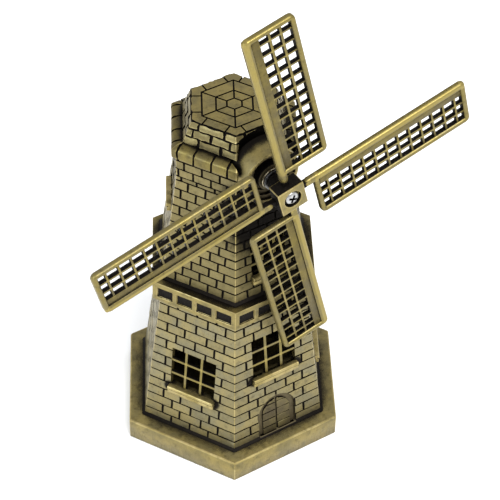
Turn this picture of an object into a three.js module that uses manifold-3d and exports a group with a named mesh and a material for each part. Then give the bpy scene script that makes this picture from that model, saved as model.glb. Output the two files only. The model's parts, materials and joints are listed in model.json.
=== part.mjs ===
// A die-cast souvenir windmill: a six-sided brick tower in two storeys on a plinth,
// with four lattice sails that turn on a pin in front of the cap.
// Millimetres, +Z up. The origin is the centre of the underside and the sails face -Y.
// The tower's corners lie at 0, 60, 120 ... degrees round +Z, so its faces look towards
// 30, 90, 150 ... degrees and the front face, with the door, looks towards 270.
import * as THREE from 'three';
import { mergeVertices } from 'three/addons/utils/BufferGeometryUtils.js';
import Module from 'manifold-3d';

const wasm = await Module();
wasm.setup();

// ---------- driving dimensions ----------
const SIDES = 6;
const FLAT = Math.cos(Math.PI / SIDES); // a face's distance from the axis, per mm of corner radius
const FRONT = 270; // degrees, the face that carries the door and the sails
const GAP = 0.3; // clearance left between pieces that touch
const FIT = 0.15; // the same round pins and screws
const BEYOND = 1; // how far a cutting tool runs past what it cuts
const ROUND_SIDES = 24; // flats that stand for a circle, on turned pieces,
const ROD_SIDES = 16; // on the through bolt
const SCREW_SIDES = 12; // and on the small screws

// Plinth. Every radius of a six-sided piece is measured to its corners.
const PLINTH_RADIUS = 40;
const PLINTH_TOP = 8.6;
const PLINTH_WALL = 2.8;
const PLINTH_DECK = 2.2; // thickness of its top
const FELT_THICKNESS = 0.6;
const COVER_THICKNESS = 1.2;
const COVER_SCREWS = 3;
const COVER_SCREW_CIRCLE = 27;
const COVER_SCREW_RADIUS = 1.1;
const COVER_SCREW_LENGTH = 4.4;
const COVER_SCREW_HEAD = { radius: 2.2, height: 0.8 };
const SCREW_POST_RADIUS = 2.6;

// Bolt up the middle that clamps the castings together
const TIE_RADIUS = 1.5;
const TIE_TOP = 123;
const NUT_RADIUS = 3.2;
const NUT_HEIGHT = 2.4;
const TIE_WASHER = { radius: 3.5, thickness: 0.5 };

// Lower storey
const LOWER_FOOT_RADIUS = 34.1;
const LOWER_TOP_RADIUS = 26.8;
const LOWER_TOP = 60.6;
const TOWER_WALL = 2.2;
const COVE = 0.9; // fillet round each storey's foot
const COVE_BEND = { out: 0.27, up: 0.32 }; // where the fillet turns upwards

// Gallery belt between the storeys, with a sleeve that drops into the lower one
const BELT_RADIUS = 29.7;
const BELT_TOP = 68.4;
const BELT_SLEEVE_DROP = 2;
const BELT_SLEEVE_WALL = 1.6;
const BELT_DECK = 2.2;
const BELT_EYE_RADIUS = 20; // the opening in its deck
const BELT_PANELS = 4; // sunk panels on each face
const BELT_PANEL_PITCH = 7.0;
const BELT_PANEL = { width: 5.6, height: 4.0, depth: 0.5 };
const BELT_PANEL_DROP = 4.0; // belt top to panel middle

// Upper storey: it tapers to the neck, and the neck is upright
const UPPER_FOOT_RADIUS = 26.1;
const NECK_RADIUS = 20.5;
const NECK_FOOT = 107;
const NECK_TOP = 116.4;

// Cap: a rounded coping under a tapered drum, hollow round a central post
const COPING_RADIUS = 22;
const COPING_BAND = 2.3; // its upright part
const COPING_STEPS = 5; // facets of its rounded part
const COPING_TOP = 120.5;
const DRUM_FOOT_RADIUS = 18.1;
const DRUM_TOP_RADIUS = 15;
const DRUM_TOP = 127.8;
const CAP_WALL = 2.6;
const CAP_ROOF = 3.2;
const CAP_POST_RADIUS = 4;
const NICHE_MARGIN = 0.6; // between the niche and the cap's corners
const NICHE_SHOULDER = 1.7; // roof to the ends of the niche's flat arch
const NICHE_WALL = 1.4;

// Windows: three by three panes over a sill
const PANES = 3;
const BAR_WIDTH = 0.95;
const SILL_HEIGHT = 3;
const SILL_DEPTH = 1.0;
const SILL_OVERHANG = 0.4;
const SILL_DROP = 0.2; // below the lowest glass edge
const LARGE_WINDOW = { width: 16.1, height: 15.5 };
const SMALL_WINDOW = { width: 12.4, height: 12.2 };
// the face that each window is on, and the height of its lowest glass edge
const LOWER_WINDOWS = [[210, 26.0], [270, 35.5], [330, 26.0]];
const UPPER_WINDOWS = [[270, 77.0], [150, 93.8], [30, 93.8]];

// Door
const DOOR_HALF_WIDTH = 7.1;
const DOOR_STEP = 0.2; // above the storey's foot
const DOOR_SPRING = 17.2; // height where the arch begins
const DOOR_RECESS = 1.0;
const DOOR_MARGIN = 1.5; // sunk border round the leaves
const DOOR_LEAF_PROUD = 0.6;
const DOOR_LEAF_GAP = 0.6;

// Windshaft and its boss. Places along it are distances in front of the tower's axis.
const SHAFT_HEIGHT = 114.8;
const SHAFT_RADIUS = 2.0;
const SHAFT_CLEARANCE = 0.2;
const SHAFT_OVERRUN = 2.4; // tail behind the bush
const BOSS_RADIUS = 9.6;
const BOSS_SWELL = 0.3; // wider than that at the back
const BOSS_FRONT = 21.6;
const BOSS_BACK = 12.5;
const BOSS_LIP = 1.25;
const BOSS_STEPS = 3; // rings, one inside the other, that step down into its face
const BOSS_STEP = { width: 1.2, depth: 1.0 };
const BOSS_TAIL_RADIUS = 4.4;
const BOSS_TAIL_BACK = 10.5; // end of its tail, behind the neck's front wall
const BUSH_RADIUS = 2.8;
const BUSH_FLANGE = { radius: 3.8, thickness: 0.6 };
const CIRCLIP = { radius: 3.4, thickness: 0.6, mouth: 2.4 };
const GROOVE_DEPTH = 0.5;
const THRUST_WASHER = { radius: 3.5, thickness: 0.5 };
const SPACER_RADIUS = 2.9;

// Hub and its screw
const HUB_FRONT = 33;
const HUB_SIZE = 9;
const HUB_THICKNESS = 5.2;
const HUB_WEB = 2.2; // hub face to the end of the shaft's seat
const COUNTERBORE = { radius: 2.85, depth: 1.5 };
const SCREW_HEAD = { radius: 2.3, height: 1.3 };
const SCREW_HEAD_SIDE = 0.7; // height of the upright side under the head's dome
const SCREW_HEAD_SHOULDER = { radius: 1.85, height: 1.15 };
const SCREW_HEAD_CROWN = 1.05; // radius of the flat round the cross
const SCREW_SHANK_RADIUS = 1.05;
const SCREW_SHANK_LENGTH = 5.5;
const SCREW_CROSS = { length: 2.6, width: 0.55, depth: 0.7 };

// Sails. A sail is drawn with its spar upright, its lattice on the +X side and its face
// towards -Y, and is then turned about the windshaft.
const SAILS = 4;
const REST_ANGLE = -14.3; // degrees clockwise, seen from the front, of the first sail from upright
const SAIL_SETBACK = 1.7; // sail face behind the hub face
const SAIL_THICKNESS = 2.0;
const SAIL_ROUNDING = 0.6;
const SAIL_CORNER = 1.8;
const SAIL_START = 8.8; // distances from the windshaft's axis
const SAIL_END = 64.2;
const SPAR_HALF_WIDTH = 1.3;
const SPAR_TIP = 5.6; // where the spar's rounded end stops, short of the hub
const SPAR_CORNER = 1.2;
const SAIL_FAR_EDGE = 15.7;
const RIM_WIDTH = 1.8;
const TRAY_DEPTH = 0.7; // rim face to lattice face
const LATTICE_THICKNESS = 1.3;
const LATTICE_START = 3.7; // the plain board beside the spar ends here
const LATTICE_COLUMNS = 3;
const LATTICE_ROWS = 13;
const LATTICE_ROW_PITCH = 4.25;
const LATTICE_BAR = 0.8;
const PEG_WIDTH = 1.8; // square tail of the spar that plugs into the hub
const PEG_START = 3.1;

// ---------- solids ----------
const radians = (degrees) => degrees * Math.PI / 180;

function solid(geometry) {
  const bare = geometry.clone();
  bare.deleteAttribute('normal');
  bare.deleteAttribute('uv');
  const merged = mergeVertices(bare, 1e-4);
  return new wasm.Manifold(new wasm.Mesh({
    numProp: 3,
    vertProperties: new Float32Array(merged.attributes.position.array),
    triVerts: new Uint32Array(merged.index.array),
  }));
}

function geometryOf(body) {
  const mesh = body.getMesh();
  const geometry = new THREE.BufferGeometry();
  geometry.setAttribute('position', new THREE.BufferAttribute(mesh.vertProperties, 3));
  geometry.setIndex(new THREE.BufferAttribute(mesh.triVerts, 1));
  const faceted = geometry.toNonIndexed();
  faceted.computeVertexNormals();
  return faceted;
}

const joined = (bodies) => bodies.reduce((whole, body) => whole.add(body));
const cut = (body, tools) => tools.reduce((rest, tool) => rest.subtract(tool), body);

// Profiles are lists of [radius, height]. A profile runs up the outside, and then ends
// on the axis or comes back down the inside to where it began.
const closed = (profile) => [...profile, profile[0]];
const disc = (radius, low, high) => [[0, low], [radius, low], [radius, high], [0, high]];
const ring = (outer, inner, low, high) => closed([[outer, low], [outer, high], [inner, high], [inner, low]]);

function turned(profile, segments, startAngle = 0) {
  const points = profile.map(([radius, height]) => new THREE.Vector2(radius, height));
  const geometry = new THREE.LatheGeometry(points, segments, startAngle);
  geometry.rotateX(Math.PI / 2);
  return geometry;
}

const hexagonal = (profile) => solid(turned(profile, SIDES, Math.PI / SIDES));
const round = (profile, segments = ROUND_SIDES) => solid(turned(profile, segments));

// Turned about -Y instead: heights become distances towards the front.
function facingFront(profile, segments = ROUND_SIDES) {
  const geometry = turned(profile, segments);
  geometry.rotateX(Math.PI / 2);
  return geometry;
}

// The same, centred on the windshaft.
function alongShaft(profile, segments) {
  const geometry = facingFront(profile, segments);
  geometry.translate(0, 0, SHAFT_HEIGHT);
  return solid(geometry);
}

function box(width, depth, height, x, y, z) {
  const geometry = new THREE.BoxGeometry(width, depth, height);
  geometry.translate(x, y, z);
  return geometry;
}

// An outline in X and Z, thickened along +Y from the given y. The bevel rounds its edges.
function slab(shape, startY, thickness, bevel = 0, smoothness = 2) {
  const geometry = new THREE.ExtrudeGeometry(shape, {
    depth: thickness - 2 * bevel,
    bevelEnabled: bevel > 0,
    bevelThickness: bevel,
    bevelSize: bevel,
    bevelOffset: -bevel,
    bevelSegments: 1,
    curveSegments: smoothness,
  });
  geometry.rotateX(Math.PI / 2);
  geometry.translate(0, startY + thickness - bevel, 0);
  return geometry;
}

// ---------- places on the tapered faces ----------
const { mapLinear } = THREE.MathUtils;
const lowerRadius = (z) => mapLinear(z, PLINTH_TOP, LOWER_TOP, LOWER_FOOT_RADIUS, LOWER_TOP_RADIUS);
const upperRadius = (z) => mapLinear(z, BELT_TOP, NECK_FOOT, UPPER_FOOT_RADIUS, NECK_RADIUS);
const beltRadius = () => BELT_RADIUS;

// Moves a piece drawn for the front face (outside towards -Y, its zero on the face)
// to the given face and height of a storey.
function onFace(geometry, radiusAt, faceAngle, z) {
  const lean = Math.atan((radiusAt(z) - radiusAt(z + 1)) * FLAT);
  geometry.rotateX(-lean);
  geometry.translate(0, -radiusAt(z) * FLAT, z);
  geometry.rotateZ(radians(faceAngle - FRONT));
  return solid(geometry);
}

function windowCuts({ width, height }, radiusAt, faceAngle, bottom) {
  const paneWidth = (width - (PANES - 1) * BAR_WIDTH) / PANES;
  const paneHeight = (height - (PANES - 1) * BAR_WIDTH) / PANES;
  const depth = 4 * TOWER_WALL;
  const cuts = [];
  for (let column = 0; column < PANES; column += 1) {
    for (let row = 0; row < PANES; row += 1) {
      const x = (column - (PANES - 1) / 2) * (paneWidth + BAR_WIDTH);
      const z = paneHeight / 2 + row * (paneHeight + BAR_WIDTH);
      cuts.push(onFace(box(paneWidth, depth, paneHeight, x, 0, z), radiusAt, faceAngle, bottom));
    }
  }
  return cuts;
}

function sill({ width }, radiusAt, faceAngle, bottom) {
  const buried = TOWER_WALL / 2;
  const y = (buried - SILL_DEPTH) / 2;
  const z = -SILL_HEIGHT / 2 - SILL_DROP;
  const bar = box(width + 2 * SILL_OVERHANG, SILL_DEPTH + buried, SILL_HEIGHT, 0, y, z);
  return onFace(bar, radiusAt, faceAngle, bottom);
}

// A storey's shell with its windows cut and its sills added.
function withWindows(shell, windows, size, radiusAt) {
  const sills = windows.map(([face, bottom]) => sill(size, radiusAt, face, bottom));
  const cuts = windows.flatMap(([face, bottom]) => windowCuts(size, radiusAt, face, bottom));
  return cut(joined([shell, ...sills]), cuts);
}

// ---------- plinth and what closes it ----------
const coverBottom = FELT_THICKNESS + GAP;
const coverTop = coverBottom + COVER_THICKNESS;
const deckUnderside = PLINTH_TOP - PLINTH_DECK;
const cavityRadius = PLINTH_RADIUS - PLINTH_WALL;

function coverScrewPlaces() {
  return Array.from({ length: COVER_SCREWS }, (_, index) => {
    const angle = radians(90 + index * 360 / COVER_SCREWS);
    return [COVER_SCREW_CIRCLE * Math.cos(angle), COVER_SCREW_CIRCLE * Math.sin(angle), 0];
  });
}

function basePlinth() {
  const shell = hexagonal(closed([
    [PLINTH_RADIUS, GAP],
    [PLINTH_RADIUS, PLINTH_TOP],
    [TIE_RADIUS + GAP, PLINTH_TOP],
    [TIE_RADIUS + GAP, deckUnderside],
    [cavityRadius, deckUnderside],
    [cavityRadius, GAP],
  ]));
  const post = ring(SCREW_POST_RADIUS, COVER_SCREW_RADIUS + GAP, coverTop + GAP, PLINTH_TOP - BEYOND);
  const posts = coverScrewPlaces().map((place) => round(post, SCREW_SIDES).translate(place));
  return joined([shell, ...posts]);
}

const feltPad = () => hexagonal(disc(cavityRadius - 2 * GAP, 0, FELT_THICKNESS));

function bottomCover() {
  const plate = hexagonal(disc(cavityRadius - GAP, coverBottom, coverTop));
  const hole = disc(COVER_SCREW_RADIUS + FIT, coverBottom - BEYOND, coverTop + BEYOND);
  const seatTop = coverBottom + COVER_SCREW_HEAD.height + FIT;
  const seat = disc(COVER_SCREW_HEAD.radius + FIT, coverBottom - BEYOND, seatTop);
  const holes = coverScrewPlaces().map((place) => (
    joined([round(hole, SCREW_SIDES), round(seat, SCREW_SIDES)]).translate(place)
  ));
  return cut(plate, holes);
}

function coverScrew(place) {
  const head = coverBottom + COVER_SCREW_HEAD.height;
  const tip = coverBottom + COVER_SCREW_LENGTH;
  const profile = [
    [0, coverBottom],
    [COVER_SCREW_HEAD.radius, coverBottom],
    [COVER_SCREW_HEAD.radius, head],
    [COVER_SCREW_RADIUS, head],
    [COVER_SCREW_RADIUS, tip],
    [0, tip],
  ];
  return round(profile, SCREW_SIDES).translate(place);
}

// ---------- bolt that clamps the castings together ----------
const washerTop = deckUnderside - GAP;
const washerBottom = washerTop - TIE_WASHER.thickness;
const nutTop = washerBottom - FIT;
const nutBottom = nutTop - NUT_HEIGHT;

const tieRod = () => round(disc(TIE_RADIUS, coverTop + GAP, TIE_TOP), ROD_SIDES);
const tieWasher = () => round(ring(TIE_WASHER.radius, TIE_RADIUS + FIT, washerBottom, washerTop), ROD_SIDES);

function tieNut() {
  const blank = hexagonal(disc(NUT_RADIUS, nutBottom, nutTop));
  return cut(blank, [round(disc(TIE_RADIUS + FIT, nutBottom - BEYOND, nutTop + BEYOND), ROD_SIDES)]);
}

// ---------- tower ----------
// The curve that spreads a storey's foot onto what it stands on.
const coveProfile = (radius, foot) => [
  [radius + COVE, foot],
  [radius + COVE_BEND.out, foot + COVE_BEND.up],
];

function lowerTower() {
  const foot = PLINTH_TOP + GAP;
  const shell = hexagonal(closed([
    ...coveProfile(LOWER_FOOT_RADIUS, foot),
    [lowerRadius(foot + COVE), foot + COVE],
    [LOWER_TOP_RADIUS, LOWER_TOP],
    [LOWER_TOP_RADIUS - TOWER_WALL, LOWER_TOP],
    [LOWER_FOOT_RADIUS - TOWER_WALL, foot],
  ]));
  const step = foot + DOOR_STEP;
  const opening = slab(archShape(DOOR_HALF_WIDTH, DOOR_SPRING - step), -COVE, COVE + DOOR_RECESS, 0, 8);
  const recess = onFace(opening, lowerRadius, FRONT, step);
  const walls = withWindows(shell, LOWER_WINDOWS, LARGE_WINDOW, lowerRadius);
  return joined([cut(walls, [recess]), doorLeaves(step)]);
}

function archShape(halfWidth, spring) {
  const shape = new THREE.Shape();
  shape.moveTo(-halfWidth, 0);
  shape.lineTo(halfWidth, 0);
  shape.lineTo(halfWidth, spring);
  shape.absarc(0, spring, halfWidth, 0, Math.PI, false);
  return shape;
}

// Two leaves standing proud of the recess's floor, cast in one with it.
function doorLeaves(step) {
  const outline = archShape(DOOR_HALF_WIDTH - DOOR_MARGIN, DOOR_SPRING - step);
  const backing = TOWER_WALL / 4;
  const leaves = slab(outline, DOOR_RECESS - DOOR_LEAF_PROUD, DOOR_LEAF_PROUD + backing, 0, 8);
  const split = box(DOOR_LEAF_GAP, 2 * DOOR_RECESS, 3 * DOOR_SPRING, 0, 0, 0);
  return cut(onFace(leaves, lowerRadius, FRONT, step), [onFace(split, lowerRadius, FRONT, step)]);
}

function galleryBelt() {
  const foot = LOWER_TOP + GAP;
  const sleeve = LOWER_TOP_RADIUS - TOWER_WALL - 2 * GAP;
  const body = hexagonal(closed([
    [sleeve, foot - BELT_SLEEVE_DROP],
    [sleeve, foot],
    [BELT_RADIUS, foot],
    [BELT_RADIUS, BELT_TOP],
    [BELT_EYE_RADIUS, BELT_TOP],
    [BELT_EYE_RADIUS, BELT_TOP - BELT_DECK],
    [sleeve - BELT_SLEEVE_WALL, BELT_TOP - BELT_DECK],
    [sleeve - BELT_SLEEVE_WALL, foot - BELT_SLEEVE_DROP],
  ]));
  const panels = [];
  for (let side = 0; side < SIDES; side += 1) {
    for (let index = 0; index < BELT_PANELS; index += 1) {
      const x = (index - (BELT_PANELS - 1) / 2) * BELT_PANEL_PITCH;
      const panel = box(BELT_PANEL.width, 2 * BELT_PANEL.depth, BELT_PANEL.height, x, 0, -BELT_PANEL_DROP);
      panels.push(onFace(panel, beltRadius, FRONT + side * 360 / SIDES, BELT_TOP));
    }
  }
  return cut(body, panels);
}

function upperTower() {
  const foot = BELT_TOP + GAP;
  const shell = hexagonal(closed([
    ...coveProfile(UPPER_FOOT_RADIUS, foot),
    [upperRadius(foot + COVE), foot + COVE],
    [NECK_RADIUS, NECK_FOOT],
    [NECK_RADIUS, NECK_TOP],
    [NECK_RADIUS - TOWER_WALL, NECK_TOP],
    [NECK_RADIUS - TOWER_WALL, NECK_FOOT],
    [UPPER_FOOT_RADIUS - TOWER_WALL, foot],
  ]));
  return cut(withWindows(shell, UPPER_WINDOWS, SMALL_WINDOW, upperRadius), [bossTail(GAP)]);
}

// ---------- cap ----------
function roofCap() {
  const bottom = NECK_TOP + GAP;
  const rollFoot = bottom + COPING_BAND;
  const profile = [[0, bottom], [COPING_RADIUS, bottom]];
  for (let step = 0; step <= COPING_STEPS; step += 1) {
    const angle = step / COPING_STEPS * Math.PI / 2;
    profile.push([
      DRUM_FOOT_RADIUS + (COPING_RADIUS - DRUM_FOOT_RADIUS) * Math.cos(angle),
      rollFoot + (COPING_TOP - rollFoot) * Math.sin(angle),
    ]);
  }
  profile.push([DRUM_TOP_RADIUS, DRUM_TOP], [0, DRUM_TOP]);
  const ceiling = DRUM_TOP - CAP_ROOF;
  const hollow = hexagonal([
    [0, bottom - BEYOND],
    [DRUM_FOOT_RADIUS - CAP_WALL, bottom - BEYOND],
    [DRUM_FOOT_RADIUS - CAP_WALL, rollFoot],
    [DRUM_TOP_RADIUS - CAP_WALL, ceiling],
    [0, ceiling],
  ]);
  const post = round(disc(CAP_POST_RADIUS, bottom, ceiling + BEYOND));
  const bore = round(disc(TIE_RADIUS + FIT, bottom - BEYOND, TIE_TOP + GAP), ROD_SIDES);
  const shell = cut(hexagonal(profile), [cut(hollow, [niche(BOSS_BACK - GAP - NICHE_WALL, bottom)])]);
  return cut(joined([shell, post]), [bore, niche(BOSS_BACK - GAP, bottom - BEYOND), bossTail(GAP)]);
}

// The cap's front is cut back behind the boss, under a flat arch. The solid that this
// takes away begins at the given distance in front of the tower's axis.
function niche(distance, bottom) {
  const cheek = (radius) => radius / 2 - NICHE_MARGIN;
  const shoulder = DRUM_TOP - NICHE_SHOULDER;
  const shape = new THREE.Shape();
  shape.moveTo(-cheek(COPING_RADIUS), bottom);
  shape.lineTo(cheek(COPING_RADIUS), bottom);
  shape.lineTo(cheek(COPING_RADIUS), COPING_TOP);
  shape.lineTo(cheek(DRUM_FOOT_RADIUS), COPING_TOP + GAP);
  shape.lineTo(cheek(DRUM_TOP_RADIUS), shoulder);
  shape.quadraticCurveTo(0, DRUM_TOP + NICHE_SHOULDER / 2, -cheek(DRUM_TOP_RADIUS), shoulder);
  shape.lineTo(-cheek(DRUM_FOOT_RADIUS), COPING_TOP + GAP);
  shape.lineTo(-cheek(COPING_RADIUS), COPING_TOP);
  return solid(slab(shape, -distance - COPING_RADIUS, COPING_RADIUS, 0, 8));
}

// ---------- windshaft and bearing ----------
// The boss's tail, which passes through the front walls of the neck and the cap.
const bossTail = (clearance) => alongShaft(
  disc(BOSS_TAIL_RADIUS + clearance, BOSS_TAIL_BACK - clearance, BOSS_FRONT - BOSS_STEP.depth),
);

function shaftBoss() {
  const rim = BOSS_RADIUS - BOSS_LIP;
  const profile = [
    [0, BOSS_BACK],
    [BOSS_RADIUS + BOSS_SWELL, BOSS_BACK],
    [BOSS_RADIUS, BOSS_FRONT - BOSS_SWELL],
    [BOSS_RADIUS - BOSS_SWELL, BOSS_FRONT],
    [rim, BOSS_FRONT],
  ];
  for (let step = 1; step <= BOSS_STEPS; step += 1) {
    const radius = rim - (step - 1) * BOSS_STEP.width;
    const floor = BOSS_FRONT - step * BOSS_STEP.depth;
    profile.push([radius, floor], [radius - BOSS_STEP.width, floor]);
  }
  const seat = BOSS_FRONT - GAP;
  profile.push([rim - BOSS_STEPS * BOSS_STEP.width, seat], [0, seat]);
  const neck = hexagonal(disc(NECK_RADIUS + GAP, 0, NECK_TOP + GAP));
  const bore = alongShaft(disc(BUSH_RADIUS + FIT, 0, BOSS_FRONT + BEYOND));
  return cut(joined([cut(alongShaft(profile, 32), [neck]), bossTail(0)]), [bore]);
}

const bushFront = BOSS_FRONT + BUSH_FLANGE.thickness;

function bearingBush() {
  const bore = SHAFT_RADIUS + SHAFT_CLEARANCE;
  return alongShaft(closed([
    [BUSH_RADIUS, BOSS_TAIL_BACK],
    [BUSH_RADIUS, BOSS_FRONT],
    [BUSH_FLANGE.radius, BOSS_FRONT],
    [BUSH_FLANGE.radius, bushFront],
    [bore, bushFront],
    [bore, BOSS_TAIL_BACK],
  ]));
}

const circlipFront = BOSS_TAIL_BACK - GAP;
const circlipBack = circlipFront - CIRCLIP.thickness;

// A plain pin, tapped at the front for the hub's screw and grooved at the back for its clip.
function windshaft() {
  const tail = BOSS_TAIL_BACK - SHAFT_OVERRUN;
  const tip = HUB_FRONT - HUB_WEB - FIT;
  const groove = SHAFT_RADIUS - GROOVE_DEPTH;
  const tapped = SCREW_SHANK_RADIUS + FIT;
  const tapEnd = HUB_FRONT - COUNTERBORE.depth - SCREW_SHANK_LENGTH - GAP;
  return alongShaft([
    [0, tail],
    [SHAFT_RADIUS, tail],
    [SHAFT_RADIUS, circlipBack - FIT],
    [groove, circlipBack - FIT],
    [groove, circlipFront + FIT],
    [SHAFT_RADIUS, circlipFront + FIT],
    [SHAFT_RADIUS, tip],
    [tapped, tip],
    [tapped, tapEnd],
    [0, tapEnd],
  ]);
}

function shaftCirclip() {
  const inner = SHAFT_RADIUS - GROOVE_DEPTH + FIT;
  const body = alongShaft(ring(CIRCLIP.radius, inner, circlipBack, circlipFront));
  const mouth = box(CIRCLIP.mouth, 4 * CIRCLIP.thickness, 2 * CIRCLIP.radius,
    0, -circlipFront, SHAFT_HEIGHT - CIRCLIP.radius - SHAFT_CLEARANCE);
  return cut(body, [solid(mouth)]);
}

function collar(radius, back, front) {
  return alongShaft(ring(radius, SHAFT_RADIUS + SHAFT_CLEARANCE, back, front));
}

const thrustBack = bushFront + GAP;
const thrustFront = thrustBack + THRUST_WASHER.thickness;
const thrustWasher = () => collar(THRUST_WASHER.radius, thrustBack, thrustFront);
const shaftSpacer = () => collar(SPACER_RADIUS, thrustFront + FIT, HUB_FRONT - HUB_THICKNESS - FIT);

// ---------- hub and sails ----------
// These are drawn about the origin with the hub face at y = 0, then placed on the shaft.
const pegMiddle = SAIL_SETBACK + SAIL_THICKNESS / 2;

function hubBlock() {
  const back = -HUB_THICKNESS - BEYOND;
  const holes = [
    disc(COUNTERBORE.radius, -COUNTERBORE.depth, BEYOND),
    disc(SCREW_SHANK_RADIUS + FIT, back, BEYOND),
    disc(SHAFT_RADIUS + FIT, back, -HUB_WEB),
  ];
  const sockets = [];
  for (let index = 0; index < SAILS; index += 1) {
    const width = PEG_WIDTH + GAP;
    const socket = box(width, width, HUB_SIZE, 0, pegMiddle, PEG_START - GAP + HUB_SIZE / 2);
    socket.rotateY(radians(index * 360 / SAILS));
    sockets.push(solid(socket));
  }
  const blank = solid(box(HUB_SIZE, HUB_THICKNESS, HUB_SIZE, 0, HUB_THICKNESS / 2, 0));
  return cut(blank, [...holes.map((hole) => solid(facingFront(hole))), ...sockets]);
}

// Pan head with a cross recess, its shank in the windshaft's tapped end.
function hubScrew() {
  const seat = FIT - COUNTERBORE.depth;
  const tip = seat - SCREW_SHANK_LENGTH;
  const top = seat + SCREW_HEAD.height;
  const body = facingFront([
    [0, tip],
    [SCREW_SHANK_RADIUS, tip],
    [SCREW_SHANK_RADIUS, seat],
    [SCREW_HEAD.radius, seat],
    [SCREW_HEAD.radius, seat + SCREW_HEAD_SIDE],
    [SCREW_HEAD_SHOULDER.radius, seat + SCREW_HEAD_SHOULDER.height],
    [SCREW_HEAD_CROWN, top],
    [0, top],
  ]);
  const slots = [0, 90].map((angle) => {
    const slot = box(SCREW_CROSS.length, 2 * SCREW_CROSS.depth, SCREW_CROSS.width, 0, -top, 0);
    slot.rotateY(radians(angle));
    return solid(slot);
  });
  return cut(solid(body), slots);
}

function roundedOutline(left, right, bottom, top, corner) {
  const outline = new THREE.Shape();
  outline.absarc(right - corner, bottom + corner, corner, -Math.PI / 2, 0, false);
  outline.absarc(right - corner, top - corner, corner, 0, Math.PI / 2, false);
  outline.absarc(left + corner, top - corner, corner, Math.PI / 2, Math.PI, false);
  outline.absarc(left + corner, bottom + corner, corner, Math.PI, 1.5 * Math.PI, false);
  return outline;
}

function rectangle(left, right, bottom, top) {
  const outline = new THREE.Shape();
  outline.moveTo(left, bottom);
  outline.lineTo(right, bottom);
  outline.lineTo(right, top);
  outline.lineTo(left, top);
  return outline;
}

// The space inside a sail's rim.
const tray = {
  left: SPAR_HALF_WIDTH,
  right: SAIL_FAR_EDGE - RIM_WIDTH,
  bottom: SAIL_START + RIM_WIDTH,
  top: SAIL_END - RIM_WIDTH,
};

function latticeHoles() {
  const middle = (tray.bottom + tray.top) / 2;
  const columnPitch = (tray.right - LATTICE_START + LATTICE_BAR) / LATTICE_COLUMNS;
  const halfHole = (LATTICE_ROW_PITCH - LATTICE_BAR) / 2;
  const holes = [];
  for (let column = 0; column < LATTICE_COLUMNS; column += 1) {
    const left = LATTICE_START + column * columnPitch;
    const right = left + columnPitch - LATTICE_BAR;
    for (let row = 0; row < LATTICE_ROWS; row += 1) {
      const centre = middle + (row - (LATTICE_ROWS - 1) / 2) * LATTICE_ROW_PITCH;
      const low = Math.max(centre - halfHole, tray.bottom);
      const high = Math.min(centre + halfHole, tray.top);
      holes.push(solid(slab(rectangle(left, right, low, high), SAIL_SETBACK, 2 * SAIL_THICKNESS)));
    }
  }
  return holes;
}

function sail() {
  const rim = roundedOutline(-SPAR_HALF_WIDTH, SAIL_FAR_EDGE, SAIL_START, SAIL_END, SAIL_CORNER);
  rim.holes.push(rectangle(tray.left, tray.right, tray.bottom, tray.top));
  const under = SAIL_ROUNDING + FIT; // the lattice's board reaches this far under the rim
  const board = rectangle(tray.left - under, tray.right + under, tray.bottom - under, tray.top + under);
  const lattice = cut(solid(slab(board, SAIL_SETBACK + TRAY_DEPTH, LATTICE_THICKNESS)), latticeHoles());
  const sparTop = SAIL_START + 2 * SAIL_CORNER;
  const spar = roundedOutline(-SPAR_HALF_WIDTH, SPAR_HALF_WIDTH, SPAR_TIP, sparTop, SPAR_CORNER);
  const pegLength = SAIL_START - PEG_START;
  const peg = box(PEG_WIDTH, PEG_WIDTH, pegLength, 0, pegMiddle, PEG_START + pegLength / 2);
  return joined([
    solid(slab(rim, SAIL_SETBACK, SAIL_THICKNESS, SAIL_ROUNDING)),
    lattice,
    solid(slab(spar, SAIL_SETBACK, SAIL_THICKNESS, SAIL_ROUNDING)),
    solid(peg),
  ]);
}

// ---------- assembly ----------
const FINISHES = {
  antique_brass: { color: 0x9c8c5c, roughness: 0.42, metalness: 0.9 },
  steel: { color: 0xb4b6b8, roughness: 0.3, metalness: 1.0 },
  bush_brass: { color: 0xb59a54, roughness: 0.35, metalness: 1.0 },
  felt: { color: 0x23302a, roughness: 0.95, metalness: 0.0 },
};

function piece(name, body, finish) {
  const mesh = new THREE.Mesh(geometryOf(body), new THREE.MeshStandardMaterial(FINISHES[finish]));
  mesh.name = name;
  return mesh;
}

function rotorPieces() {
  const rotor = new THREE.Group();
  rotor.position.set(0, -HUB_FRONT, SHAFT_HEIGHT);
  rotor.rotation.y = radians(REST_ANGLE);
  rotor.add(piece('hub_block', hubBlock(), 'antique_brass'));
  rotor.add(piece('hub_screw', hubScrew(), 'steel'));
  for (let index = 0; index < SAILS; index += 1) {
    const blade = piece(`sail_${index + 1}`, sail(), 'antique_brass');
    blade.rotation.y = radians(index * 360 / SAILS);
    rotor.add(blade);
  }
  return rotor;
}

const windmill = new THREE.Group();
windmill.add(piece('felt_pad', feltPad(), 'felt'));
windmill.add(piece('bottom_cover', bottomCover(), 'steel'));
coverScrewPlaces().forEach((place, index) => {
  windmill.add(piece(`cover_screw_${index + 1}`, coverScrew(place), 'steel'));
});
windmill.add(piece('base_plinth', basePlinth(), 'antique_brass'));
windmill.add(piece('tie_rod', tieRod(), 'steel'));
windmill.add(piece('tie_washer', tieWasher(), 'steel'));
windmill.add(piece('tie_nut', tieNut(), 'steel'));
windmill.add(piece('lower_tower', lowerTower(), 'antique_brass'));
windmill.add(piece('gallery_belt', galleryBelt(), 'antique_brass'));
windmill.add(piece('upper_tower', upperTower(), 'antique_brass'));
windmill.add(piece('roof_cap', roofCap(), 'antique_brass'));
windmill.add(piece('shaft_boss', shaftBoss(), 'antique_brass'));
windmill.add(piece('bearing_bush', bearingBush(), 'bush_brass'));
windmill.add(piece('windshaft', windshaft(), 'steel'));
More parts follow.
